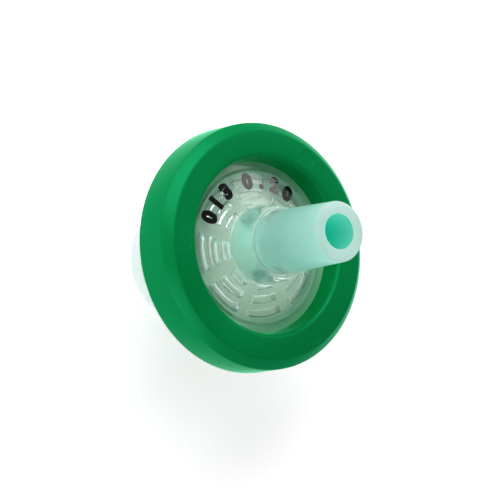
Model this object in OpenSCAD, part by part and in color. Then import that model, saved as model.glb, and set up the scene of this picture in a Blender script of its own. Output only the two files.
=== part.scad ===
// Syringe filter, 13 mm class, with an overmoulded ring.
// It stands on the end of its inlet hub: the filter's axis is Z, and the outlet nozzle is on top.

/* [Overmoulded ring] */
// Outside diameter of the ring, at the rear edge of its side wall
ring_d = 16.88; // [16.4:0.01:18]
// Thickness of the ring, from its rear face to its front face
ring_h = 3.75; // [3.7:0.01:4.4]
// Height of the sloping shoulder between the side wall and each face
shoulder = 0.65; // [0.4:0.01:0.7]
// Draft of the side wall, as the radius lost up to the front shoulder
wall_draft = 0.04; // [0:0.01:0.08]
// Diameter of the front opening, at the foot of the lip
window_d = 11.72; // [11.6:0.01:12]
// Depth of the front opening, down to the rim of the outlet housing
window_depth = 1.5; // [1.2:0.01:1.55]
// Draft of the lip's inner wall, as the radius gained up to its rounded edge
lip_draft = 0.16; // [0.05:0.01:0.25]
// Radius of the lip's rounded inner edge
lip_round = 0.3; // [0.1:0.01:0.35]
// Diameter of the rear opening, at the foot of the rear lip
rear_open_d = 10.6; // [10:0.01:11.7]
// Thickness of the rear lip, behind the inlet housing's flange
rear_lip = 0.6; // [0.4:0.01:0.62]
// Diameter of the three round gate marks on the front face
gate_d = 1.24; // [0.8:0.01:1.3]
// Diameter of the circle that the gate marks lie on
gate_circle_d = 13.96; // [13.9:0.01:14]
// Direction of the first gate mark, counter-clockwise from +X
gate_angle = 57.8; // [0:0.1:119]

/* [Housings] */
// Diameter of the flanges that the ring is closed round
flange_d = 14; // [13.9:0.01:14.2]
// Thickness of the inlet housing's flange
inlet_flange = 0.6; // [0.5:0.01:0.65]
// Diameter of the membrane disc
membrane_d = 10.8; // [10.6:0.01:11.2]
// Thickness of the membrane disc
membrane_t = 0.15; // [0.1:0.01:0.18]
// Diameter of the window, the raised conical face inside the outlet housing's rim
face_d = 10.4; // [10.3:0.01:10.5]
// How far the window's edge stands above that rim
face_rise = 0.26; // [0.2:0.01:0.3]
// Slope of the window, in degrees: it rises towards the nozzle
face_slope = 11.3; // [8:0.1:13]
// Diameter of the membrane chambers on both sides of the membrane
chamber_d = 10.1; // [9.9:0.01:10.2]
// Height of the outlet chamber's conical roof over the membrane, at the chamber's edge
roof_h = 0.1; // [0.05:0.01:0.2]

/* [Membrane-support web] */
// Number of spokes, and of sectors that the rows of pockets are divided into
sectors = 8; // [6:2:10]
// Direction of the middle of the first sector, counter-clockwise from +X
sector_angle = 5; // [0:0.1:45]
// Width of the spokes between the sectors
spoke_w = 0.92; // [0.7:0.01:1.1]
// Depth of the pockets in the chamber's roof
pocket_depth = 0.54; // [0.4:0.01:0.6]
// Outer radius of the outermost row of pockets
pocket_reach = 4.66; // [4.5:0.01:4.8]
// Distance from one row of pockets to the next
pocket_pitch = 0.91; // [0.8:0.01:0.95]
// Width of a pocket, measured along the radius
pocket_w = 0.49; // [0.3:0.01:0.6]

/* [Outlet nozzle] */
// How far the nozzle's tip stands above the ring's front face
nozzle_len = 7.55; // [6.5:0.01:9]
// Outside diameter of the nozzle's tip
tip_d = 4; // [3.9:0.01:4.1]
// Outside radius gained for each millimetre down the nozzle: half of the 6 % Luer taper
luer_slope = 0.03; // [0.02:0.001:0.035]
// Diameter of the nozzle's bore
bore_d = 2.34; // [2:0.01:2.5]
// Length of the nozzle's bore, down from its tip
bore_len = 5.6; // [4:0.1:6]
// Diameter of the throat between the bore and the funnel
throat_d = 0.9; // [0.6:0.01:1]
// Diameter of the funnel's mouth, on the membrane's side
funnel_d = 2.9; // [2.4:0.01:3.4]
// Height of the collar at the nozzle's root, above the ring's front face
collar_h = 1.4; // [1.1:0.01:1.8]
// Diameter of the collar's top
collar_d = 4.94; // [4.8:0.01:5.1]
// Diameter of the boss that carries the collar
boss_d = 5.32; // [5.25:0.01:5.5]
// How far the boss's upper edge lies below the ring's front face
boss_drop = 0.15; // [0:0.01:0.3]

/* [Inlet hub] */
// Distance from the hub's end to the ring's rear face
hub_len = 7.2; // [7.1:0.01:10]
// Outside diameter of the hub
hub_d = 6.7; // [6.5:0.01:6.73]
// Diameter of the Luer socket's mouth
socket_d = 4.3; // [4.27:0.01:4.32]
// Depth of the Luer socket
socket_depth = 7.2; // [6.5:0.01:7.4]
// Diameter of the hole from the socket to the membrane
inlet_hole_d = 1.3; // [0.8:0.01:1.6]
// Diameter across the two locking lugs
lug_d = 7.8; // [7.7:0.01:7.83]
// Width of a lug, between its two flat ends
lug_w = 6.5; // [3:0.01:6.6]
// Thickness of a lug at its middle, up from the hub's end
lug_t = 1.2; // [1:0.01:1.3]
// Direction of the first lug, counter-clockwise from +X
lug_angle = 185; // [0:1:359]
// Slope of the lugs' upper side along the rim: a thread with a 5 mm lead
lug_slope = 12; // [8:0.5:14]

/* [Hidden] */
$fn = 96;
arc_steps = 6;
rows = 3;                  // rows of pockets
cut = 0.5;                 // how far a cutting shape runs past the face that it opens
clear_color = [0.86, 0.95, 0.93];
green = [0.0, 0.45, 0.2];

// Levels along the axis, counted from the hub's end
ring_rear = hub_len;
ring_front = hub_len + ring_h;
rim_z = ring_front - window_depth;
inlet_back = ring_rear + rear_lip;
split_z = inlet_back + inlet_flange;
membrane_top = split_z + membrane_t;
tip_z = ring_front + nozzle_len;
bore_z = tip_z - bore_len;
collar_z = ring_front + collar_h;
boss_z = ring_front - boss_drop;
ring_r = ring_d / 2;
front_r = ring_r - wall_draft;
window_r = window_d / 2;
flange_r = flange_d / 2;
face_r = face_d / 2;
boss_r = boss_d / 2;
chamber_r = chamber_d / 2;
gate_depth = 0.02;

// Points of an arc about a centre, from one angle to another
function arc(centre, r, from, to) =
    [for (i = [0:arc_steps]) let (a = from + (to - from) * i / arc_steps)
        centre + r * [cos(a), sin(a)]];

// Radius of the nozzle's outside at a height
function nozzle_r(z) = tip_d / 2 + luer_slope * (tip_z - z);

// Height of the window's face and of the chamber's roof at a radius
function face_z(r) = rim_z + face_rise + (face_r - r) * tan(face_slope);
function roof_z(r) = membrane_top + roof_h + (chamber_r - r) * tan(face_slope);

// Ring: one closed section round both flanges
module overmould_ring() {
    edge = 0.25;           // rounding where the shoulder meets the front face
    slope = 45;
    knee = edge * tan(slope / 2);
    wall_top = ring_front - lip_round;
    rear_r = rear_open_d / 2;
    color(green)
    difference() {
        rotate_extrude() polygon(concat(
            [[rear_r + lip_draft, ring_rear], [ring_r - shoulder, ring_rear],
             [ring_r, ring_rear + shoulder], [front_r, ring_front - shoulder]],
            arc([front_r - shoulder - knee, ring_front - edge], edge, slope, 90),
            arc([window_r + lip_draft + lip_round, wall_top], lip_round, 90, 180),
            [[window_r, rim_z], [flange_r, rim_z], [flange_r, inlet_back],
             [rear_r, inlet_back]]));
        for (i = [0:2])
            rotate(gate_angle + i * 120)
                translate([gate_circle_d / 2, 0, ring_front - gate_depth])
                    cylinder(d = gate_d, h = cut, $fn = 48);
    }
}

// Solid body of the outlet housing: flange, window, boss, collar and nozzle
module outlet_body() {
    tip_round = 0.15;
    collar_round = 0.17;
    boss_round = 0.12;
    foot_round = 0.2;      // fillet between the boss and the window
    step = 0.14;           // slope of the step between the rim and the window
    lean = 75;             // where the boss's rounding meets the collar's wall
    foot_r = boss_r + foot_round;
    foot_z = face_z(foot_r) + foot_round / cos(face_slope);
    collar_r = collar_d / 2;
    rotate_extrude() polygon(concat(
        [[0, split_z], [flange_r, split_z], [flange_r, rim_z],
         [face_r + step, rim_z], [face_r, face_z(face_r)]],
        arc([foot_r, foot_z], foot_round, 270 - face_slope, 180),
        arc([boss_r - boss_round, boss_z - boss_round], boss_round, 0, lean),
        arc([collar_r - collar_round, collar_z - collar_round], collar_round, 0, 90),
        [[nozzle_r(collar_z), collar_z]],
        arc([tip_d / 2 - tip_round, tip_z - tip_round], tip_round, 0, 90),
        [[0, tip_z]]));
}

// Flow path through the outlet housing: chamber, funnel, throat and bore
module outlet_path() {
    funnel_r = funnel_d / 2;
    dome_r = throat_d / 2 + 0.3;
    dome_z = bore_z - dome_r - 0.25;
    translate([0, 0, split_z - cut])
        cylinder(d = membrane_d + 0.1, h = membrane_t + cut);
    rotate_extrude() polygon(concat(
        [[0, split_z], [chamber_r, split_z], [chamber_r, roof_z(chamber_r)],
         [funnel_r, roof_z(funnel_r)]],
        arc([0, dome_z], dome_r, 0, 90)));
    translate([0, 0, dome_z])
        cylinder(d = throat_d, h = bore_z - dome_z + cut);
    translate([0, 0, bore_z])
        cylinder(d = bore_d, h = bore_len + cut);
}

// Rows of pockets in the chamber's roof, parted by the spokes of the support web
module roof_pockets() {
    difference() {
        for (row = [0:rows - 1]) {
            outer = pocket_reach - row * pocket_pitch;
            inner = outer - pocket_w;
            rotate_extrude() polygon([
                [inner, roof_z(inner) - cut], [outer, roof_z(outer) - cut],
                [outer, roof_z(outer) + pocket_depth], [inner, roof_z(inner) + pocket_depth]]);
        }
        for (i = [0:sectors / 2 - 1])
            rotate(sector_angle + (i + 0.5) * 360 / sectors)
                translate([-flange_r, -spoke_w / 2, split_z - cut])
                    cube([flange_d, spoke_w, ring_h]);
    }
}

// Outlet housing: one clear moulding
module outlet_housing() {
    color(clear_color)
    difference() {
        outlet_body();
        outlet_path();
        roof_pockets();
    }
}

// Membrane: a plain disc
module membrane() {
    color("white")
    translate([0, 0, split_z])
        cylinder(d = membrane_d, h = membrane_t);
}

// One locking lug: its outer side is round, its upper side slopes as a thread does
module lug() {
    reach = hub_d / 2 - 0.4;
    intersection() {
        difference() {
            cylinder(d = lug_d, h = 2 * lug_t);
            translate([0, 0, -cut])
                cylinder(r = reach, h = 2 * (lug_t + cut));
            translate([0, 0, lug_t])
                rotate([lug_slope, 0, 0])
                    translate([0, -hub_d, 0])
                        cube([hub_d, 2 * hub_d, lug_t * 3]);
        }
        translate([0, -lug_w / 2, 0])
            cube([lug_d, lug_w, 2 * lug_t]);
    }
}

// Inlet housing: one clear moulding, a Luer-lock hub on a disc
module inlet_housing() {
    mouth_round = 0.2;
    root_round = 0.6;      // fillet between the hub and the disc
    hub_r = hub_d / 2;
    chamber_depth = 0.2;
    socket_r = socket_d / 2;
    socket_end_r = socket_r - luer_slope * socket_depth;
    color(clear_color)
    difference() {
        union() {
            rotate_extrude() polygon(concat(
                [[0, 0]],
                arc([hub_r - mouth_round, mouth_round], mouth_round, 270, 360),
                arc([hub_r + root_round, inlet_back - root_round], root_round, 180, 90),
                [[flange_r, inlet_back], [flange_r, split_z], [0, split_z]]));
            for (side = [0, 180])
                rotate(lug_angle + side) lug();
        }
        rotate_extrude() polygon([
            [0, -cut], [socket_r + luer_slope * cut, -cut], [socket_end_r, socket_depth],
            [0, socket_depth]]);
        cylinder(d = inlet_hole_d, h = split_z + cut);
        rotate_extrude() polygon([
            [0, split_z - 2 * chamber_depth], [inlet_hole_d, split_z - 2 * chamber_depth],
            [chamber_r, split_z - chamber_depth], [chamber_r, split_z + cut],
            [0, split_z + cut]]);
    }
}

inlet_housing();
membrane();
outlet_housing();
overmould_ring();
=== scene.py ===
import math

import bmesh
import bpy
from bpy.props import (
    FloatProperty,
    FloatVectorProperty,
    IntProperty,
    PointerProperty,
    StringProperty,
)
from mathutils import Matrix, Vector


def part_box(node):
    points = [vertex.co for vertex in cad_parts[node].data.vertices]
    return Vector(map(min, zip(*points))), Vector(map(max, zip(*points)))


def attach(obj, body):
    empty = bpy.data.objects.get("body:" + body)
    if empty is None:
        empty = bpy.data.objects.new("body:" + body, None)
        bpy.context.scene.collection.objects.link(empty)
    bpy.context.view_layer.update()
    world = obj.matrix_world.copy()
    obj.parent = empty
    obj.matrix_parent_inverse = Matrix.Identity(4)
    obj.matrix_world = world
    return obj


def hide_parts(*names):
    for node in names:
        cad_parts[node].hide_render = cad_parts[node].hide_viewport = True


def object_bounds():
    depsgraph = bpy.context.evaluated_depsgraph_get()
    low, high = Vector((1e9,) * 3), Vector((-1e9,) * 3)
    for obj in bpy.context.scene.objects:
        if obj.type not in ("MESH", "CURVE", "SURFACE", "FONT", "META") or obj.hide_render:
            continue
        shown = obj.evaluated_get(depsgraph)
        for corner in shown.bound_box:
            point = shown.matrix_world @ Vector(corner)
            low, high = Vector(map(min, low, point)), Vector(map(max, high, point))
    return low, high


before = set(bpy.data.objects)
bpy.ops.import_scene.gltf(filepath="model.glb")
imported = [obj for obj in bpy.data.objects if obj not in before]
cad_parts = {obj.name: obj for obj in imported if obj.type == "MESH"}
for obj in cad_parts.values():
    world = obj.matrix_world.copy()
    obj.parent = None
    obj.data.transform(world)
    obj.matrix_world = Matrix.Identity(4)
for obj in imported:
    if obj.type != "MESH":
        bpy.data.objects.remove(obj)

bl_info = {
    "name": "Syringe filter",
    "version": (1, 0, 0),
    "blender": (4, 5, 0),
    "location": "3D View > Sidebar > Filter",
    "description": "Models and dresses an overmoulded syringe filter round its CAD frame",
    "category": "Add Mesh",
}

CAD_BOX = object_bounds()
MM = 0.001
GAP = 0.01            # film of air in mm that keeps two touching pieces apart in a render
WELD = 1e-4           # distance in mm under which two points of a mesh are one
TURN = 2 * math.pi

RING_LOW, RING_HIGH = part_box("overmould_ring")
OUTLET_LOW, OUTLET_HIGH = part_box("outlet_housing")
INLET_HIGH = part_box("inlet_housing")[1]
DISC_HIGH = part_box("membrane")[1]


def in_mm(length):
    """A length in millimetres, the unit that the pieces are modelled in."""
    return length / MM


def linear(colour):
    """Linear red, green and blue of an sRGB hex colour, by the curve of that standard."""
    parts = [int(colour[i:i + 2], 16) / 255 for i in (1, 3, 5)]
    return tuple(
        p / 12.92 if p <= 0.04045 else ((p + 0.055) / 1.055) ** 2.4 for p in parts
    )


# ---------------------------------------------------------------- sizes and colours


def length(name, description, default, low=0.0, high=0.1):
    """A length in metres for the sidebar."""
    return FloatProperty(
        name=name, description=description, default=default, min=low, max=high,
        unit="LENGTH", subtype="DISTANCE", precision=5,
    )


def angle(name, description, degrees):
    """An angle for the sidebar, given in degrees."""
    return FloatProperty(
        name=name, description=description, default=math.radians(degrees),
        unit="ROTATION", subtype="ANGLE",
    )


def share(name, description, default, high=1.0):
    """A number without a unit for the sidebar."""
    return FloatProperty(name=name, description=description, default=default, min=0.0, max=high)


def colour(name, description, value):
    """A colour for the sidebar, given as an sRGB hex value."""
    return FloatVectorProperty(
        name=name, description=description, default=linear(value), subtype="COLOR",
        size=3, min=0.0, max=1.0,
    )


class RingSizes(bpy.types.PropertyGroup):
    """Sizes of the grip ring."""

    shoulder: length("Shoulder", "Height of the slope between side wall and face", 0.65 * MM)
    wall_draft: length("Wall draft", "Radius lost up the side wall", 0.04 * MM)
    window_radius: length("Opening", "Radius at the foot of the front lip", 5.86 * MM)
    rear_radius: length("Rear opening", "Radius at the foot of the rear lip", 5.3 * MM)
    lip_draft: length("Lip draft", "Radius gained up the lip's inner wall", 0.16 * MM)
    lip_round: length("Lip rounding", "Radius of the lip's inner edge", 0.3 * MM)
    edge_round: length("Edge rounding", "Rounding of the shoulder's edges", 0.12 * MM)
    gate_radius: length("Gate mark", "Radius of a round gate mark", 0.62 * MM)
    gate_circle: length("Gate circle", "Radius of the circle of gate marks", 6.98 * MM)
    gate_depth: length("Gate depth", "Depth of a gate mark", 0.02 * MM)
    gate_angle: angle("Gate angle", "Direction of the first gate mark", 57.8)
    steps: IntProperty(name="Steps", description="Faces round the ring", default=256, min=32)


class OutletSizes(bpy.types.PropertyGroup):
    """Sizes of the outlet housing: window, pockets, boss, nozzle and bore."""

    rim_drop: length("Rim depth", "Depth of the rim below the ring's face", 1.5 * MM)
    step: length("Rim step", "Width of the slope from the rim up to the window", 0.14 * MM)
    face_rise: length("Window rise", "Height of the window's edge over the rim", 0.26 * MM)
    face_radius: length("Window", "Radius of the conical window", 5.2 * MM)
    face_slope: angle("Window slope", "Rise of the window towards the nozzle", 11.3)
    roof_height: length("Roof", "Height of the chamber's roof at the chamber's edge", 0.1 * MM)
    chamber_radius: length("Chamber", "Radius of the chamber over the membrane", 5.05 * MM)
    seat_radius: length("Seat", "Radius of the membrane's seat", 5.45 * MM)
    pocket_reach: length("Reach", "Outer radius of the outermost row of pockets", 4.66 * MM)
    pocket_pitch: length("Pitch", "Distance from one row of pockets to the next", 0.91 * MM)
    pocket_width: length("Pocket width", "Width of a pocket along the radius", 0.49 * MM)
    pocket_depth: length("Pocket depth", "Depth of the pockets in the roof", 0.54 * MM)
    pocket_round: length("Pocket rounding", "Rounding of a pocket's inner edges", 0.05 * MM)
    rows: IntProperty(name="Rows", description="Rows of pockets", default=3, min=1)
    spoke: length("Spoke", "Width of the spokes between the sectors", 0.92 * MM)
    sectors: IntProperty(name="Sectors", description="Sectors of pockets", default=8, min=3)
    sector_angle: angle("Sector angle", "Direction of the first sector's middle", 5)
    boss_radius: length("Boss", "Radius of the boss under the collar", 2.66 * MM)
    boss_drop: length("Boss drop", "Depth of the boss's edge below the ring's face", 0.15 * MM)
    boss_round: length("Boss rounding", "Rounding of the boss's upper edge", 0.12 * MM)
    boss_fillet: length("Boss fillet", "Fillet between boss and window", 0.2 * MM)
    collar_radius: length("Collar", "Radius of the nozzle's collar", 2.47 * MM)
    collar_height: length("Collar height", "Height of the collar above the ring's face", 1.4 * MM)
    collar_round: length("Collar rounding", "Rounding of the collar's edge", 0.17 * MM)
    tip_radius: length("Tip", "Outer radius of the nozzle's tip", 2.0 * MM)
    tip_round: length("Tip rounding", "Rounding of the tip's outer edge", 0.15 * MM)
    luer_slope: share("Taper", "Radius gained per length down the nozzle", 0.03)
    bore_radius: length("Bore", "Radius of the nozzle's bore", 1.17 * MM)
    bore_length: length("Bore length", "Length of the bore below the tip", 5.6 * MM)
    throat_radius: length("Throat", "Radius of the hole between bore and funnel", 0.45 * MM)
    dome_radius: length("Funnel top", "Radius of the funnel's domed top", 0.75 * MM)
    funnel_radius: length("Funnel mouth", "Radius of the funnel's mouth", 1.45 * MM)
    steps: IntProperty(name="Steps", description="Faces round the housing", default=240, min=48)


class InletSizes(bpy.types.PropertyGroup):
    """Sizes of the inlet housing: hub, socket and lugs."""

    back: length("Back", "Height of the disc's rear face", 7.8 * MM)
    hub_radius: length("Hub", "Outer radius of the hub", 3.35 * MM)
    root_round: length("Root fillet", "Fillet between hub and disc", 0.6 * MM)
    socket_radius: length("Socket", "Radius of the socket's mouth", 2.15 * MM)
    socket_depth: length("Socket depth", "Depth of the Luer socket", 7.2 * MM)
    hole_radius: length("Hole", "Radius of the hole to the membrane", 0.65 * MM)
    lug_radius: length("Lugs", "Radius over the two lugs", 3.9 * MM)
    lug_width: length("Lug width", "Width of a lug", 6.5 * MM)
    lug_height: length("Lug height", "Thickness of a lug at its middle", 1.2 * MM)
    lug_slope: angle("Lug slope", "Slope of the lug's thread side", 12)
    lug_angle: angle("Lug angle", "Direction of the first lug", 185)
    steps: IntProperty(name="Steps", description="Faces round the hub", default=192, min=48)


class PrintSizes(bpy.types.PropertyGroup):
    """The plain numbers on the window face."""

    height: length("Height", "Height of a character", 1.02 * MM)
    radius: length("Radius", "Radius of the middle of the characters", 4.53 * MM)
    weight: length("Weight", "How far the strokes are thickened each way", 0.12 * MM)
    film: length("Film", "Thickness of the ink", 0.008 * MM)
    first_text: StringProperty(name="First", description="First number", default="013")
    first_angle: angle("First angle", "Direction of the first number's first character", 154)
    second_text: StringProperty(name="Second", description="Second number", default="0.20")
    second_angle: angle("Second angle", "Direction of the second number's first character", 99)
    pitch: angle("Pitch", "Angle from one character to the next", 15)


class Looks(bpy.types.PropertyGroup):
    """Colours of the materials."""

    green: colour("Green", "Green moulded ring", "#007332")
    green_sheen: colour("Green sheen", "Tint of the ring's gloss", "#3CF4B0")
    white_sheen: colour("White sheen", "The ring's gloss at a grazing angle", "#FFFFFF")
    clear: colour("Clear", "Tint of the clear housing", "#F4F9F5")
    haze: colour("Haze", "Colour of the housing's milky haze", "#C8E6E2")
    hub: colour("Hub", "Colour of the hub's haze", "#CFDEDC")
    shade: colour("Shade", "Light that a milky wall lets through", "#A8C4BC")
    # painted light: the flange's haze is painted green for the light that the green ring throws
    # on it
    flange: colour("Flange", "Haze next to the green ring", "#74D094")
    # painted highlight: the end face is painted whiter for the light it catches from above
    tip: colour("Tip", "Painted highlight on the nozzle's end face", "#F0F8F6")
    # partly the thick plastic's tint, partly painted shade deep in the bore
    depth: colour("Depth", "Colour of the housing down its bore", "#00C4A8")
    membrane: colour("Membrane", "White membrane", "#C2D0C0")
    membrane_rim: colour("Membrane's rim", "Membrane in the ring's shade", "#A6C2AA")
    # painted shade: the ring's green light and shade on the membrane's edge
    membrane_green_shade: colour("Painted green edge", "Membrane in the ring's painted green shade", "#4FA374")
    ink: colour("Ink", "Black printing ink", "#050708")
    floor: colour("Floor", "Pale studio floor", "#F2F2F2")


class StageSettings(bpy.types.PropertyGroup):
    """Camera, floor and room light."""

    distance: length("Distance", "Camera to the front edge of the ring", 0.16, 0.05, 2.0)
    lens: FloatProperty(
        name="Lens", description="Focal length on a 36 mm sensor", default=170.8,
        min=20, max=400, unit="CAMERA",
    )
    floor_size: length("Floor", "Width of the floor", 2.0, 0.1, 10.0)
    sky: share("Sky", "Strength of the room's light on the object", 0.2, 5.0)


SETTINGS = {
    "filter_ring": RingSizes,
    "filter_outlet": OutletSizes,
    "filter_inlet": InletSizes,
    "filter_print": PrintSizes,
    "filter_looks": Looks,
    "filter_stage": StageSettings,
}


# ---------------------------------------------------------------- modelling helpers


def leave_edit_mode():
    """Goes back to object mode with nothing selected."""
    if bpy.context.object and bpy.context.object.mode != "OBJECT":
        bpy.ops.object.mode_set(mode="OBJECT")
    bpy.ops.object.select_all(action="DESELECT")


def edit(piece):
    """Goes into edit mode on one piece."""
    leave_edit_mode()
    bpy.context.view_layer.objects.active = piece
    piece.select_set(True)
    bpy.ops.object.mode_set(mode="EDIT")


def select(kind, wanted):
    """Selects the edges or faces of the mesh in edit mode for which wanted() is true."""
    bpy.ops.mesh.select_all(action="DESELECT")
    bpy.ops.mesh.select_mode(type=kind)
    mesh = bmesh.from_edit_mesh(bpy.context.object.data)
    parts = mesh.edges if kind == "EDGE" else mesh.faces
    for part in parts:
        if wanted(part):
            part.select_set(True)
    mesh.select_flush_mode()
    bmesh.update_edit_mesh(bpy.context.object.data)


def turned(name, corners, steps):
    """A closed section, given by its corners (radius, height) in mm, spun about Z."""
    leave_edit_mode()
    bpy.ops.mesh.primitive_plane_add(size=1)
    piece = bpy.context.object
    piece.name = name
    bpy.ops.object.mode_set(mode="EDIT")
    bpy.ops.mesh.select_mode(type="VERT")
    bpy.ops.mesh.select_all(action="SELECT")
    bpy.ops.mesh.merge(type="CENTER")
    path = [Vector((r, 0, z)) for r, z in corners]
    bpy.ops.transform.translate(value=path[0])
    for here, there in zip(path, path[1:] + path[:1]):
        bpy.ops.mesh.extrude_region_move(TRANSFORM_OT_translate={"value": there - here})
    bpy.ops.mesh.select_all(action="SELECT")
    bpy.ops.mesh.remove_doubles(threshold=WELD)
    bpy.ops.mesh.spin(steps=steps, angle=TURN, center=(0, 0, 0), axis=(0, 0, 1))
    bpy.ops.mesh.select_all(action="SELECT")
    bpy.ops.mesh.remove_doubles(threshold=WELD)
    bpy.ops.mesh.normals_make_consistent(inside=False)
    return piece


def at_corner(r, z, near=1e-3):
    """A test for the round edge at a radius and a height."""
    def test(edge):
        return all(
            abs(v.co.z - z) < near and abs(v.co.xy.length - r) < near for v in edge.verts
        )
    return test


def round_corner(r, z, width, segments=5):
    """Rounds the edge that runs round the axis at that radius and height."""
    select("EDGE", at_corner(r, z))
    bpy.ops.mesh.bevel(offset=width, offset_type="OFFSET", segments=segments, affect="EDGES")


def use_modifier(piece, kind, **settings):
    """Adds a modifier, sets it and applies it."""
    leave_edit_mode()
    bpy.context.view_layer.objects.active = piece
    piece.select_set(True)
    made = piece.modifiers.new(kind.title(), kind)
    for name, value in settings.items():
        setattr(made, name, value)
    bpy.ops.object.modifier_apply(modifier=made.name)


def combine(piece, tool, operation):
    """Cuts the tool out of the piece, or joins it on, and removes the tool."""
    use_modifier(piece, "BOOLEAN", object=tool, operation=operation, solver="EXACT")
    bpy.data.objects.remove(tool)


def finish_piece(piece, material, node=None, smooth=35):
    """Brings a piece from mm to metres, smooths it, dresses it and ties it to the frame."""
    edit(piece)
    bpy.ops.mesh.select_all(action="SELECT")
    bpy.ops.transform.resize(value=(MM, MM, MM), center_override=(0, 0, 0))
    leave_edit_mode()
    bpy.context.view_layer.objects.active = piece
    piece.select_set(True)
    bpy.ops.object.shade_smooth_by_angle(angle=math.radians(smooth))
    use_modifier(piece, "WEIGHTED_NORMAL", mode="FACE_AREA", keep_sharp=True)
    piece.data.materials.clear()
    piece.data.materials.append(material)
    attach(piece, "root")
    if node:
        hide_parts(node)
    leave_edit_mode()


# ---------------------------------------------------------------- materials

WHITE = (1, 1, 1, 1)
PLASTIC_IOR = 1.49            # polypropylene, and the ink that is printed on it

RING_ROUGHNESS = 0.4          # a mould that isn't fully polished
RING_GLOSS_IOR = 1.7          # above the plastic's own, for the strength of its sheen
RING_GRAZING = (0.5, 0.85)    # how far a face is turned away where its gloss whitens
RING_WHITENESS = 0.22         # share of white in the gloss at a grazing angle

CLEAR_ROUGHNESS = 0.07        # the clear wall
SKIN_ROUGHNESS = 0.16         # the milky wall's skin
HAZE_SLOPE = -0.8             # change of the haze's level per distance from the axis
FLANGE_ZONE = (4.5, 5.4)      # radii in mm over which the flange's haze, and the ring's green light painted on it, set in
FLANGE_HAZE = 0.7             # share of haze in the flange
GLOW_SHARE = 0.6              # share of the haze that light shines through
GLOW_ZONE = (1, 3.5)          # heights over the rim in mm over which that share is reached

BOND_ZONE = (-0.1, -0.05)     # heights over the rim in mm between wall and top of the bond
BOND_MARGIN = 0.55            # mm that the bond's top reaches in under the lip

CHANNEL_MARGIN = 0.05         # mm round the funnel's mouth that count as channel
CHANNEL_HAZE = 0.42           # haze that the channel's walls add
CHANNEL_TOP = 0.03            # mm below the tip where the channel begins
FUNNEL_SHADE_FADE = 0.4             # mm below the bore over which the channel's teal and painted shade fade
FUNNEL_SHADE_SHARE = 0.5             # share of that colour that is left in the funnel
BORE_SHADE_REACH = 3               # mm below the tip where the bore's teal and painted shade are full
BORE_SHADE_START = 0.75            # share of that colour at the tip
END_FACE_HIGHLIGHT = 0.12               # mm below the tip over which the end face's painted highlight sets in

SHADED_ZONE = (2.6, 4.2)      # radii in mm over which the ring shades the membrane
GREEN_SHADE_ZONE = (4.6, 5.0)     # radii in mm over which the ring's green light and shade, painted on the membrane, set in

FLOOR_ZONE = (0.1, 0.4)       # distances in m over which the floor's glow rises
FLOOR_GLOW = (0.5, 1.0)       # glow of the floor, near and far
WALL_ZONE = (0.45, 0.75)      # height in the room over which the white wall darkens
WALL_GLOSS = 0.8              # strength of the white wall in a reflection


def new_material(name):
    """An empty material and its tree."""
    material = bpy.data.materials.new(name)
    material.use_nodes = True
    material.node_tree.nodes.clear()
    return material, material.node_tree


def add_node(tree, kind, inputs=None, **settings):
    """Adds a node, sets its properties, and gives inputs a value or a link."""
    made = tree.nodes.new("ShaderNode" + kind)
    for name, value in settings.items():
        setattr(made, name, value)
    for name, value in (inputs or {}).items():
        if isinstance(value, bpy.types.NodeSocket):
            tree.links.new(value, made.inputs[name])
        else:
            made.inputs[name].default_value = value
    return made


def rgba(value):
    """A colour with full alpha."""
    return (*value, 1.0)


def scaled(value, factor):
    """A colour made lighter or darker."""
    return tuple(min(1.0, part * factor) for part in value)


def object_place(tree):
    """Place on the object, in metres."""
    return add_node(tree, "TexCoord").outputs["Object"]


def from_axis(tree, place):
    """Distance of a place from the filter's axis."""
    flat = add_node(tree, "VectorMath", {0: place, 1: (1, 1, 0)}, operation="MULTIPLY")
    return add_node(
        tree, "VectorMath", {0: flat.outputs[0]}, operation="LENGTH"
    ).outputs["Value"]


def calculated(tree, operation, *values):
    """The result of one sum."""
    return add_node(tree, "Math", dict(enumerate(values)), operation=operation).outputs[0]


def mapped(tree, value, zone, results=(0.0, 1.0), **settings):
    """A number that goes from one result to the other while the value crosses a zone."""
    return add_node(
        tree, "MapRange",
        {
            "Value": value,
            "From Min": zone[0],
            "From Max": zone[1],
            "To Min": results[0],
            "To Max": results[1],
        },
        **settings,
    ).outputs["Result"]


def in_metres(zone, start=0.0):
    """Both ends of a zone in mm, counted from a start in mm."""
    return [(start + end) * MM for end in zone]


def noise(tree, place, size, detail):
    """Noise with patches of about that size in mm."""
    return add_node(
        tree, "TexNoise", {"Vector": place, "Scale": 1 / (size * MM), "Detail": detail}
    ).outputs["Fac"]


def relief(tree, height, strength, depth):
    """Normals of a relief that is that many mm deep."""
    return add_node(
        tree, "Bump", {"Height": height, "Strength": strength, "Distance": depth * MM}
    ).outputs["Normal"]


def mixed_colour(tree, factor, first, second):
    """A colour between two others."""
    return add_node(
        tree, "Mix", {"Factor": factor, "A": first, "B": second}, data_type="RGBA"
    ).outputs["Result"]


def mottled(tree, patches, colour, low, high):
    """A colour that is a little darker in some patches and lighter in others."""
    return mixed_colour(tree, patches, rgba(scaled(colour, low)), rgba(scaled(colour, high)))


def mixed_shader(tree, factor, first, second):
    """A surface that is partly one shader and partly another."""
    return add_node(
        tree, "MixShader", {0: factor, 1: first.outputs[0], 2: second.outputs[0]}
    )


def put_on(tree, surface):
    """Makes a shader the material's surface."""
    add_node(tree, "OutputMaterial", {"Surface": surface.outputs[0]})


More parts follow.
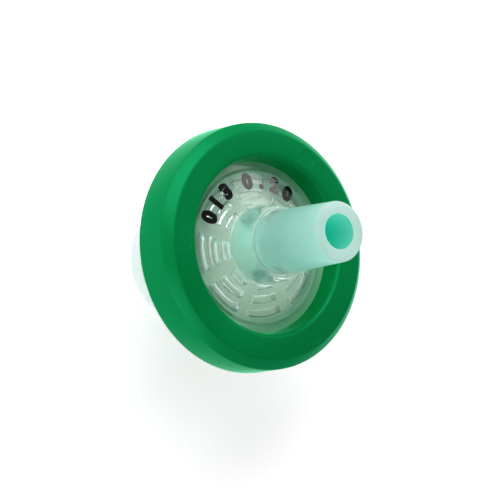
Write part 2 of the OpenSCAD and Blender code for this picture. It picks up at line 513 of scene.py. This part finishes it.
def green_polypropylene(looks):
    """Moulded polypropylene, green: semi-gloss skin of the mould, with faint flow marks."""
    material, tree = new_material("moulded_green_polypropylene")
    place = object_place(tree)
    flow = noise(tree, place, size=3, detail=3.0)
    tint = mottled(tree, flow, looks.green, low=0.94, high=1.06)
    grain = noise(tree, place, size=0.2, detail=2.0)
    bump = relief(tree, grain, strength=0.06, depth=0.02)
    body = add_node(
        tree, "BsdfPrincipled",
        {
            "Base Color": tint,
            "Roughness": RING_ROUGHNESS,
            "Specular IOR Level": 0.0,
            "Normal": bump,
        },
    )
    turned_away = add_node(tree, "LayerWeight", {"Blend": 0.5, "Normal": bump})
    grazing = mapped(
        tree, turned_away.outputs["Facing"], RING_GRAZING, (0.0, RING_WHITENESS)
    )
    sheen = mixed_colour(tree, grazing, rgba(looks.green_sheen), rgba(looks.white_sheen))
    gloss = add_node(
        tree, "BsdfGlossy", {"Color": sheen, "Roughness": RING_ROUGHNESS, "Normal": bump}
    )
    mirrored = add_node(tree, "Fresnel", {"IOR": RING_GLOSS_IOR, "Normal": bump})
    put_on(tree, mixed_shader(tree, mirrored.outputs[0], body, gloss))
    return material


def clear_polypropylene(looks, sizes, rim, levels, milk, tip=None):
    """Clarified polypropylene: clear in a thin wall, and milky where the wall is thick.

    The haze goes from one share of milk to the other between the two levels. The outlet
    housing, which has a tip, also gets the haze of its flange with the ring's green light
    painted on it, and the colours of its nozzle, with painted light of their own.
    """
    material, tree = new_material("moulded_clear_polypropylene")
    place = object_place(tree)
    height = add_node(tree, "SeparateXYZ", {"Vector": place}).outputs["Z"]
    across = from_axis(tree, place)
    thick = calculated(tree, "MULTIPLY_ADD", across, HAZE_SLOPE, height)
    milk = mapped(tree, thick, in_metres(levels), milk, interpolation_type="SMOOTHSTEP")
    body = rgba(looks.hub)
    glow_share = GLOW_SHARE
    if tip:
        edge = mapped(
            tree, across, in_metres(FLANGE_ZONE), (0.0, FLANGE_HAZE),
            interpolation_type="SMOOTHSTEP",
        )
        glow_share = mapped(tree, height, in_metres(GLOW_ZONE, rim), (0.0, GLOW_SHARE))
        milk = calculated(tree, "MAXIMUM", milk, edge)
        # painted light: the flange's haze is painted green for the ring's green light
        body = mixed_colour(tree, edge, rgba(looks.haze), rgba(looks.flange))
        milk, body = channel(tree, looks, sizes, (across, height), (milk, body), tip)
    ripple = noise(tree, place, size=1.5, detail=2.0)
    bump = relief(tree, ripple, strength=0.05, depth=0.05)
    glass = add_node(
        tree, "BsdfPrincipled",
        {
            "Base Color": rgba(looks.clear),
            "Roughness": CLEAR_ROUGHNESS,
            "IOR": PLASTIC_IOR,
            "Transmission Weight": 1.0,
            "Normal": bump,
        },
    )
    skin = add_node(
        tree, "BsdfPrincipled",
        {
            "Base Color": body,
            "Roughness": SKIN_ROUGHNESS,
            "IOR": PLASTIC_IOR,
            "Normal": bump,
        },
    )
    glow = add_node(tree, "BsdfTranslucent", {"Color": body, "Normal": bump})
    haze = mixed_shader(tree, glow_share, skin, glow)
    seen = mixed_shader(tree, milk, glass, haze)
    let_through = mixed_colour(tree, milk, rgba(looks.clear), rgba(looks.shade))
    through = add_node(tree, "BsdfTransparent", {"Color": let_through})
    shadow = add_node(tree, "LightPath").outputs["Is Shadow Ray"]
    unseen = calculated(tree, "MAXIMUM", shadow, bonded(tree, sizes, across, height, rim))
    put_on(tree, mixed_shader(tree, unseen, seen, through))
    return material


def bonded(tree, sizes, across, height, rim):
    """1 where the flange is fused to the ring, so that no surface shows between them."""
    wall = sizes.face_radius + sizes.step
    limit = mapped(
        tree, height, in_metres(BOND_ZONE, rim), (wall, wall + BOND_MARGIN * MM)
    )
    return calculated(tree, "GREATER_THAN", across, limit)


def channel(tree, looks, sizes, place, skin, tip):
    """Haze and colour of the nozzle: a painted highlight on its end face, and deeper down its
    channel a teal that is partly the plastic's tint and partly painted shade.
    """
    across, height = place
    milk, body = skin
    near = calculated(
        tree, "LESS_THAN", across, sizes.funnel_radius + CHANNEL_MARGIN * MM
    )
    below = calculated(tree, "LESS_THAN", height, (tip - CHANNEL_TOP) * MM)
    inside = calculated(tree, "MULTIPLY", near, below)
    bore_end = tip * MM - sizes.bore_length
    # painted shade: a deeper teal down the channel, partly the thick plastic's own tint
    funnel = mapped(tree, height, (bore_end - FUNNEL_SHADE_FADE * MM, bore_end), (FUNNEL_SHADE_SHARE, 1.0))
    tint = calculated(tree, "MULTIPLY", inside, funnel)
    milk = calculated(tree, "MULTIPLY_ADD", inside, CHANNEL_HAZE, milk)
    depth = mapped(tree, height, in_metres((0, -BORE_SHADE_REACH), tip), (BORE_SHADE_START, 1.0))
    depth = calculated(tree, "MULTIPLY", tint, depth)
    # painted highlight: the end face turns whiter
    end_highlight = mapped(tree, height, in_metres((-END_FACE_HIGHLIGHT, 0), tip))
    outside = mixed_colour(tree, end_highlight, body, rgba(looks.tip))
    return milk, mixed_colour(tree, depth, outside, rgba(looks.depth))


def membrane_polymer(looks):
    """Cast polyethersulfone membrane: dead matt white, greener where the ring shades it."""
    material, tree = new_material("cast_polyethersulfone_membrane")
    place = object_place(tree)
    pores = noise(tree, place, size=0.25, detail=4.0)
    tint = mottled(tree, pores, looks.membrane, low=0.92, high=1.0)
    across = from_axis(tree, place)
    # painted shade: the membrane is painted darker and greener towards its edge, for the ring's
    # shade and green light
    for zone, tint_there in (
        (SHADED_ZONE, looks.membrane_rim), (GREEN_SHADE_ZONE, looks.membrane_green_shade)
    ):
        reached = mapped(tree, across, in_metres(zone))
        tint = mixed_colour(tree, reached, tint, rgba(tint_there))
    surface = add_node(
        tree, "BsdfPrincipled",
        {"Base Color": tint, "Roughness": 0.9, "Specular IOR Level": 0.1},
    )
    put_on(tree, surface)
    return material


def printing_ink(looks):
    """Jet-printed black ink: a thin glossy film, a little thinner in places."""
    material, tree = new_material("jet_printed_black_ink")
    patches = noise(tree, object_place(tree), size=0.3, detail=2.0)
    tint = mottled(tree, patches, looks.ink, low=1.0, high=1.8)
    surface = add_node(
        tree, "BsdfPrincipled", {"Base Color": tint, "Roughness": 0.08, "IOR": PLASTIC_IOR}
    )
    put_on(tree, surface)
    return material


def studio_floor(looks):
    """White card: matt, and seen as plain white with the object's soft shadow on it."""
    material, tree = new_material("matt_white_card")
    rays = add_node(tree, "LightPath").outputs
    seen = calculated(tree, "MAXIMUM", rays["Is Camera Ray"], rays["Is Glossy Ray"])
    seen = calculated(tree, "MAXIMUM", seen, rays["Is Transmission Ray"])
    away = add_node(
        tree, "VectorMath", {0: object_place(tree)}, operation="LENGTH"
    ).outputs["Value"]
    lift = calculated(tree, "MULTIPLY", seen, mapped(tree, away, FLOOR_ZONE, FLOOR_GLOW))
    card = add_node(tree, "BsdfDiffuse", {"Color": rgba(looks.floor)})
    glow = add_node(tree, "Emission", {"Strength": lift})
    put_on(tree, add_node(tree, "AddShader", {0: card.outputs[0], 1: glow.outputs[0]}))
    return material


# ---------------------------------------------------------------- the pieces


def window_height(r):
    """Height of the conical window at a radius, both in mm."""
    outlet = bpy.context.scene.filter_outlet
    rise = (in_mm(outlet.face_radius) - r) * math.tan(outlet.face_slope)
    return in_mm(RING_HIGH.z - outlet.rim_drop + outlet.face_rise) + rise


class FILTER_OT_grip_ring(bpy.types.Operator):
    """Turns the green grip ring with its lips, shoulders and gate marks"""

    bl_idname = "filter.grip_ring"
    bl_label = "Grip ring"

    GATES = 3             # gate marks round the face
    GATE_SIDES = 96       # corners of a gate mark's outline

    def execute(self, context):
        sizes = context.scene.filter_ring
        outlet = context.scene.filter_outlet
        inlet = context.scene.filter_inlet
        outer = in_mm(RING_HIGH.x)
        bottom, top = in_mm(RING_LOW.z), in_mm(RING_HIGH.z)
        front = outer - in_mm(sizes.wall_draft)
        slope = in_mm(sizes.shoulder)
        foot = in_mm(sizes.window_radius)
        lip = foot + in_mm(sizes.lip_draft)
        rear_foot = in_mm(sizes.rear_radius)
        rear_lip = rear_foot + in_mm(sizes.lip_draft)
        rim = top - in_mm(outlet.rim_drop)
        back = in_mm(inlet.back)
        cavity = in_mm(OUTLET_HIGH.x)
        rounding = in_mm(sizes.edge_round)
        ring = turned(
            "grip_ring",
            [
                (rear_lip, bottom), (outer - slope, bottom), (outer, bottom + slope),
                (front, top - slope), (front - slope, top), (lip, top), (foot, rim),
                (cavity, rim), (cavity, back), (rear_foot, back),
            ],
            sizes.steps,
        )
        round_corner(rear_lip, bottom, rounding)
        round_corner(outer - slope, bottom, rounding)
        for r, z in ((outer, bottom + slope), (front, top - slope)):
            round_corner(r, z, rounding / 3, segments=3)
        round_corner(front - slope, top, rounding)
        round_corner(lip, top, in_mm(sizes.lip_round), segments=8)
        for i in range(self.GATES):
            combine(ring, self.gate_cutter(sizes, top, i), "DIFFERENCE")
        finish_piece(
            ring, green_polypropylene(context.scene.filter_looks),
            "overmould_ring",
        )
        return {"FINISHED"}

    def gate_cutter(self, sizes, top, i):
        """A shallow cone that leaves one round mark."""
        depth = in_mm(sizes.gate_depth)
        across = in_mm(sizes.gate_radius)
        around = sizes.gate_angle + i * TURN / self.GATES
        leave_edit_mode()
        bpy.ops.mesh.primitive_cone_add(
            vertices=self.GATE_SIDES, radius1=across - depth, radius2=across + depth,
            depth=2 * depth,
            location=(
                in_mm(sizes.gate_circle) * math.cos(around),
                in_mm(sizes.gate_circle) * math.sin(around),
                top,
            ),
        )
        return bpy.context.object


class FILTER_OT_outlet_shell(bpy.types.Operator):
    """Turns the outlet housing and sinks the pockets of its support web"""

    bl_idname = "filter.outlet_shell"
    bl_label = "Outlet housing"

    RIM_ROUND = 0.04      # mm, edges of the rim and of the window
    FOOT_ROUND = 0.06     # mm, nozzle's foot and bore's mouth
    FLOOR_ROUND = 0.25    # mm, edge of the bore's floor
    MOUTH_ROUND = 0.12    # mm, mouth of the funnel
    FLOOR = 0.25          # mm from the bore's floor down to the ball of the funnel's top
    ARCH_STEPS = 6        # corners along the funnel's domed top
    LEVELS = (9.5, 12.3)  # mm, levels between which the haze grows
    MILK = (0.1, 0.8)     # share of haze at those levels
    NEAR_ROOF = 2e-3      # mm that a face may lie off the roof and still belong to it

    def execute(self, context):
        sizes = context.scene.filter_outlet
        ring_top = in_mm(RING_HIGH.z)
        flange = in_mm(OUTLET_HIGH.x) - GAP
        split = in_mm(OUTLET_LOW.z) + GAP / 2
        seat = in_mm(DISC_HIGH.z) + GAP
        rim = ring_top - in_mm(sizes.rim_drop) - GAP
        rim_r = in_mm(sizes.face_radius + sizes.step)
        face_r = in_mm(sizes.face_radius)
        boss_r = in_mm(sizes.boss_radius)
        boss = ring_top - in_mm(sizes.boss_drop)
        collar_r = in_mm(sizes.collar_radius)
        collar = ring_top + in_mm(sizes.collar_height)
        tip = in_mm(OUTLET_HIGH.z)
        tip_r = in_mm(sizes.tip_radius)
        root_r = tip_r + sizes.luer_slope * (tip - collar)
        bore_r = in_mm(sizes.bore_radius)
        bore_end = tip - in_mm(sizes.bore_length)
        throat = in_mm(sizes.throat_radius)
        dome_r = in_mm(sizes.dome_radius)
        dome = bore_end - dome_r - self.FLOOR
        crown_angle = math.acos(throat / dome_r)
        chamber = in_mm(sizes.chamber_radius)
        seat_r = in_mm(sizes.seat_radius)
        mouth = in_mm(sizes.funnel_radius)
        arch = [
            (dome_r * math.cos(a), dome + dome_r * math.sin(a))
            for a in (
                crown_angle * i / self.ARCH_STEPS for i in range(self.ARCH_STEPS, -1, -1)
            )
        ]
        roof = [(r, self.roof(sizes, r)) for r in (mouth, *self.row_edges(sizes), chamber)]
        shell = turned(
            "outlet_shell",
            [
                (flange, split), (flange, rim), (rim_r, rim), (face_r, window_height(face_r)),
                (boss_r, window_height(boss_r)), (boss_r, boss), (collar_r, collar),
                (root_r, collar), (tip_r, tip), (bore_r, tip), (bore_r, bore_end),
                (throat, bore_end), *arch, *roof, (chamber, seat), (seat_r, seat),
                (seat_r, split),
            ],
            sizes.steps,
        )
        round_corner(rim_r, rim, self.RIM_ROUND, segments=3)
        round_corner(face_r, window_height(face_r), self.RIM_ROUND, segments=3)
        round_corner(boss_r, window_height(boss_r), in_mm(sizes.boss_fillet), segments=8)
        round_corner(boss_r, boss, in_mm(sizes.boss_round), segments=5)
        round_corner(collar_r, collar, in_mm(sizes.collar_round), segments=6)
        round_corner(root_r, collar, self.FOOT_ROUND, segments=3)
        round_corner(tip_r, tip, in_mm(sizes.tip_round), segments=6)
        round_corner(bore_r, tip, self.FOOT_ROUND, segments=4)
        round_corner(bore_r, bore_end, self.FLOOR_ROUND, segments=5)
        round_corner(*roof[0], self.MOUTH_ROUND, segments=4)
        self.sink_pockets(sizes)
        finish_piece(
            shell,
            clear_polypropylene(
                context.scene.filter_looks, sizes, rim, self.LEVELS, self.MILK, tip
            ),
            "outlet_housing",
        )
        return {"FINISHED"}

    def roof(self, sizes, r):
        """Height of the chamber's conical roof at a radius."""
        edge = in_mm(DISC_HIGH.z + sizes.roof_height)
        return edge + (in_mm(sizes.chamber_radius) - r) * math.tan(sizes.face_slope)

    def row_edges(self, sizes):
        """The rows' inner and outer radii, from the innermost row outwards."""
        outer = [
            in_mm(sizes.pocket_reach - row * sizes.pocket_pitch)
            for row in reversed(range(sizes.rows))
        ]
        return [edge for r in outer for edge in (r - in_mm(sizes.pocket_width), r)]

    def sink_pockets(self, sizes):
        """Extrudes the arcs between the spokes up into the roof and rounds their edges."""
        pitch = TURN / sizes.sectors
        half_spoke = in_mm(sizes.spoke) / 2
        edges = self.row_edges(sizes)
        rows = list(zip(edges[::2], edges[1::2]))

        def on_pocket(face):
            middle = face.calc_center_median()
            r = middle.xy.length
            if abs(middle.z - self.roof(sizes, r)) > self.NEAR_ROOF:
                return False
            row = [(inner + outer) / 2 for inner, outer in rows if inner < r < outer]
            if not row:
                return False
            half_arc = pitch / 2 - math.asin(half_spoke / row[0])
            turn = math.atan2(middle.y, middle.x) - sizes.sector_angle
            return abs((turn + pitch / 2) % pitch - pitch / 2) < half_arc

        select("FACE", on_pocket)
        depth = in_mm(sizes.pocket_depth)
        bpy.ops.mesh.extrude_region_move(TRANSFORM_OT_translate={"value": (0, 0, depth)})
        bpy.ops.mesh.region_to_loop()
        bpy.ops.mesh.bevel(offset=in_mm(sizes.pocket_round), segments=3, affect="EDGES")


class FILTER_OT_inlet_shell(bpy.types.Operator):
    """Turns the inlet housing and joins its two locking lugs on"""

    bl_idname = "filter.inlet_shell"
    bl_label = "Inlet housing"

    CHAMBER = 0.2         # mm, depth of the chamber under the membrane
    WELL = 0.4            # mm, depth of the well round the hole
    MOUTH_ROUND = 0.1     # mm, mouth of the socket
    LUGS = 2              # lugs round the hub
    LUG_ROOT = 0.4        # mm that a lug reaches into the hub's wall
    LEVEL = -3            # mm, level at which the haze is full
    MILK = (0.15, 0.5)    # share of haze at the disc's rear face and at that level

    def execute(self, context):
        sizes = context.scene.filter_inlet
        outlet = context.scene.filter_outlet
        flange = in_mm(INLET_HIGH.x) - GAP
        top = in_mm(INLET_HIGH.z) - GAP / 2
        back = in_mm(sizes.back) + GAP
        hub_r = in_mm(sizes.hub_radius)
        mouth = in_mm(sizes.socket_radius)
        depth = in_mm(sizes.socket_depth)
        floor_r = mouth - outlet.luer_slope * depth
        hole = in_mm(sizes.hole_radius)
        chamber = in_mm(outlet.chamber_radius)
        shell = turned(
            "inlet_shell",
            [
                (mouth, 0), (hub_r, 0), (hub_r, back), (flange, back), (flange, top),
                (chamber, top), (chamber, top - self.CHAMBER), (2 * hole, top - self.WELL),
                (hole, top - self.WELL), (hole, depth), (floor_r, depth),
            ],
            sizes.steps,
        )
        round_corner(mouth, 0, self.MOUTH_ROUND, segments=4)
        round_corner(hub_r, back, in_mm(sizes.root_round), segments=8)
        for i in range(self.LUGS):
            around = sizes.lug_angle + i * TURN / self.LUGS
            combine(shell, self.lug(sizes, around), "UNION")
        finish_piece(
            shell,
            clear_polypropylene(
                context.scene.filter_looks, outlet, in_mm(RING_HIGH.z),
                (back, self.LEVEL), self.MILK,
            ),
            "inlet_housing",
        )
        return {"FINISHED"}

    def lug(self, sizes, around):
        """One lug: half a band round the hub, cut to its two flat ends and its thread side."""
        inner = in_mm(sizes.hub_radius) - self.LUG_ROOT
        outer = in_mm(sizes.lug_radius)
        height = in_mm(sizes.lug_height)
        half_width = in_mm(sizes.lug_width) / 2
        lug = turned(
            "lug",
            [(inner, 0), (outer, 0), (outer, 2 * height), (inner, 2 * height)],
            sizes.steps,
        )
        for place, outwards in (
            ((0, half_width, 0), (0, 1, 0)),
            ((0, -half_width, 0), (0, -1, 0)),
            ((0, 0, 0), (-1, 0, 0)),
            ((0, 0, height), (0, -math.sin(sizes.lug_slope), math.cos(sizes.lug_slope))),
        ):
            bpy.ops.mesh.select_all(action="SELECT")
            bpy.ops.mesh.bisect(
                plane_co=place, plane_no=outwards, clear_outer=True, use_fill=True
            )
        bpy.ops.mesh.select_all(action="SELECT")
        bpy.ops.transform.rotate(value=-around, orient_axis="Z", center_override=(0, 0, 0))
        leave_edit_mode()
        return lug


class FILTER_OT_printed_numbers(bpy.types.Operator):
    """Prints two plain numbers along the rim of the window"""

    bl_idname = "filter.printed_numbers"
    bl_label = "Printed numbers"

    DIGIT_SHARE = 0.73    # height of a digit as a share of its type size

    def execute(self, context):
        sizes = context.scene.filter_print
        characters = []
        for text, start in (
            (sizes.first_text, sizes.first_angle),
            (sizes.second_text, sizes.second_angle),
        ):
            for i, letter in enumerate(text):
                around = start - i * sizes.pitch
                characters.append(self.character(context, letter, around))
        leave_edit_mode()
        for character in characters:
            character.select_set(True)
        bpy.context.view_layer.objects.active = characters[0]
        bpy.ops.object.join()
        numbers = bpy.context.object
        numbers.name = "printed_numbers"
        finish_piece(
            numbers, printing_ink(context.scene.filter_looks), smooth=30
        )
        return {"FINISHED"}

    def character(self, context, letter, around):
        """One character as a film of ink, its top towards the rim."""
        sizes = context.scene.filter_print
        radius = in_mm(sizes.radius)
        height = in_mm(sizes.height)
        film = in_mm(sizes.film)
        leave_edit_mode()
        bpy.ops.object.text_add()
        ink = bpy.context.object
        ink.data.body = letter
        ink.data.align_x = "CENTER"
        ink.data.size = height / self.DIGIT_SHARE
        ink.data.offset = in_mm(sizes.weight)
        ink.data.extrude = film / 2
        ink.data.resolution_u = 6
        bpy.ops.object.convert(target="MESH")
        ink = bpy.context.object
        lift = window_height(radius) + GAP / 2 + film / 2
        bpy.ops.object.mode_set(mode="EDIT")
        bpy.ops.mesh.select_all(action="SELECT")
        bpy.ops.mesh.remove_doubles(threshold=WELD)
        bpy.ops.transform.translate(value=(0, -height / 2, 0))
        bpy.ops.transform.rotate(
            value=context.scene.filter_outlet.face_slope, orient_axis="X",
            center_override=(0, 0, 0),
        )
        bpy.ops.transform.translate(value=(0, radius, lift))
        bpy.ops.transform.rotate(
            value=-(around - math.pi / 2), orient_axis="Z", center_override=(0, 0, 0)
        )
        leave_edit_mode()
        return ink


class FILTER_OT_membrane_finish(bpy.types.Operator):
    """Gives the membrane disc its matt white finish"""

    bl_idname = "filter.membrane_finish"
    bl_label = "Membrane"

    def execute(self, context):
        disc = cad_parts["membrane"]
        disc.data.materials.clear()
        disc.data.materials.append(membrane_polymer(context.scene.filter_looks))
        return {"FINISHED"}


class FILTER_OT_stage(bpy.types.Operator):
    """Sets up the floor, the soft lamps, the room light and the camera"""

    bl_idname = "filter.stage"
    bl_label = "Stage"

    # Directions of the view's right and upper side
    VIEW_RIGHT = Vector((0.80097, -0.06747, 0.59489))
    VIEW_UP = Vector((0.0, 0.99363, 0.11269))
    # Middle of the view in metres, from the axis at the level of the ring's front edge
    AIM = Vector((-0.00074, -0.00022, -0.00058))
    # Name, place and size in metres, and brightness of each soft lamp
    LAMPS = (
        ("softbox_right", (0.264, 0.165, 0.311), (0.20, 0.14), 2.7),
        ("softbox_top", (-0.156, 0.334, 0.258), (0.50, 0.40), 3.2),
        ("softbox_left", (-0.32, -0.30, 0.12), (0.40, 0.34), 2.4),
    )
    SENSOR = 36           # mm, width of the camera's sensor
    CLIP = (0.01, 10)     # metres, nearest and farthest that the camera sees

    def execute(self, context):
        settings = context.scene.filter_stage
        looks = context.scene.filter_looks
        leave_edit_mode()
        bpy.ops.mesh.primitive_plane_add(size=settings.floor_size)
        floor = bpy.context.object
        floor.name = "floor"
        floor.data.materials.append(studio_floor(looks))
        for lamp in self.LAMPS:
            self.lamp(*lamp)
        self.room(context, settings.sky)
        self.camera(context, settings)
        context.scene.view_settings.view_transform = "Standard"
        return {"FINISHED"}

    def lamp(self, name, place, size, brightness):
        """A soft lamp that faces the object. Brightness is its surface's, with white as 1."""
        leave_edit_mode()
        bpy.ops.object.light_add(type="AREA", location=place)
        lamp = bpy.context.object
        lamp.name = name
        middle = Vector((0, 0, (CAD_BOX[0].z + CAD_BOX[1].z) / 2))
        lamp.rotation_euler = (middle - Vector(place)).to_track_quat("-Z", "Y").to_euler()
        lamp.data.shape = "RECTANGLE"
        lamp.data.size, lamp.data.size_y = size
        lamp.data.energy = brightness * math.pi * size[0] * size[1]

    def room(self, context, strength):
        """A white room with a dark ceiling: seen as plain white, and dimmer as a light."""
        world = bpy.data.worlds.new("white_room")
        world.use_nodes = True
        tree = world.node_tree
        tree.nodes.clear()
        rays = add_node(tree, "LightPath").outputs
        seen = calculated(
            tree, "MAXIMUM", rays["Is Camera Ray"], rays["Is Transmission Ray"]
        )
        direction = add_node(tree, "TexCoord").outputs["Generated"]
        up = add_node(tree, "SeparateXYZ", {"Vector": direction}).outputs["Z"]
        wall = calculated(
            tree, "MULTIPLY",
            mapped(tree, up, WALL_ZONE, (WALL_GLOSS, 0.0)), rays["Is Glossy Ray"],
        )
        seen = calculated(tree, "MAXIMUM", seen, wall)
        level = mapped(tree, seen, (0.0, 1.0), (strength, 1.0))
        light = add_node(tree, "Background", {"Color": WHITE, "Strength": level})
        add_node(tree, "OutputWorld", {"Surface": light.outputs[0]})
        context.scene.world = world

    def camera(self, context, settings):
        """The camera looks down on the outlet side at about 37 degrees from the axis."""
        back = self.VIEW_RIGHT.cross(self.VIEW_UP)
        edge = Vector((0, 0, RING_HIGH.z - context.scene.filter_ring.shoulder))
        leave_edit_mode()
        bpy.ops.object.camera_add(location=edge + self.AIM + back * settings.distance)
        camera = bpy.context.object
        camera.name = "camera"
        turn = Matrix((self.VIEW_RIGHT, self.VIEW_UP, back)).transposed()
        camera.rotation_euler = turn.to_euler()
        camera.data.sensor_width = self.SENSOR
        camera.data.lens = settings.lens
        camera.data.clip_start, camera.data.clip_end = self.CLIP
        context.scene.camera = camera


OPERATORS = (
    FILTER_OT_grip_ring,
    FILTER_OT_outlet_shell,
    FILTER_OT_inlet_shell,
    FILTER_OT_membrane_finish,
    FILTER_OT_printed_numbers,
    FILTER_OT_stage,
)


class FILTER_PT_panel(bpy.types.Panel):
    """Lists the steps that build the filter"""

    bl_idname = "FILTER_PT_panel"
    bl_label = "Syringe filter"
    bl_space_type = "VIEW_3D"
    bl_region_type = "UI"
    bl_category = "Filter"

    def draw(self, context):
        for operator in OPERATORS:
            self.layout.operator(operator.bl_idname)
        for name, group in SETTINGS.items():
            box = self.layout.box()
            box.label(text=group.__doc__)
            for prop in group.__annotations__:
                box.prop(getattr(context.scene, name), prop)


def register():
    """Registers the settings, the operators and the panel."""
    for name, group in SETTINGS.items():
        bpy.utils.register_class(group)
        setattr(bpy.types.Scene, name, PointerProperty(type=group))
    for operator in OPERATORS:
        bpy.utils.register_class(operator)
    bpy.utils.register_class(FILTER_PT_panel)


def unregister():
    """Removes what register() added."""
    bpy.utils.unregister_class(FILTER_PT_panel)
    for operator in reversed(OPERATORS):
        bpy.utils.unregister_class(operator)
    for name, group in SETTINGS.items():
        delattr(bpy.types.Scene, name)
        bpy.utils.unregister_class(group)


def main():
    """Builds and dresses the filter."""
    register()
    for operator in OPERATORS:
        space, name = operator.bl_idname.split(".")
        getattr(getattr(bpy.ops, space), name)()


if __name__ == "__main__":
    main()
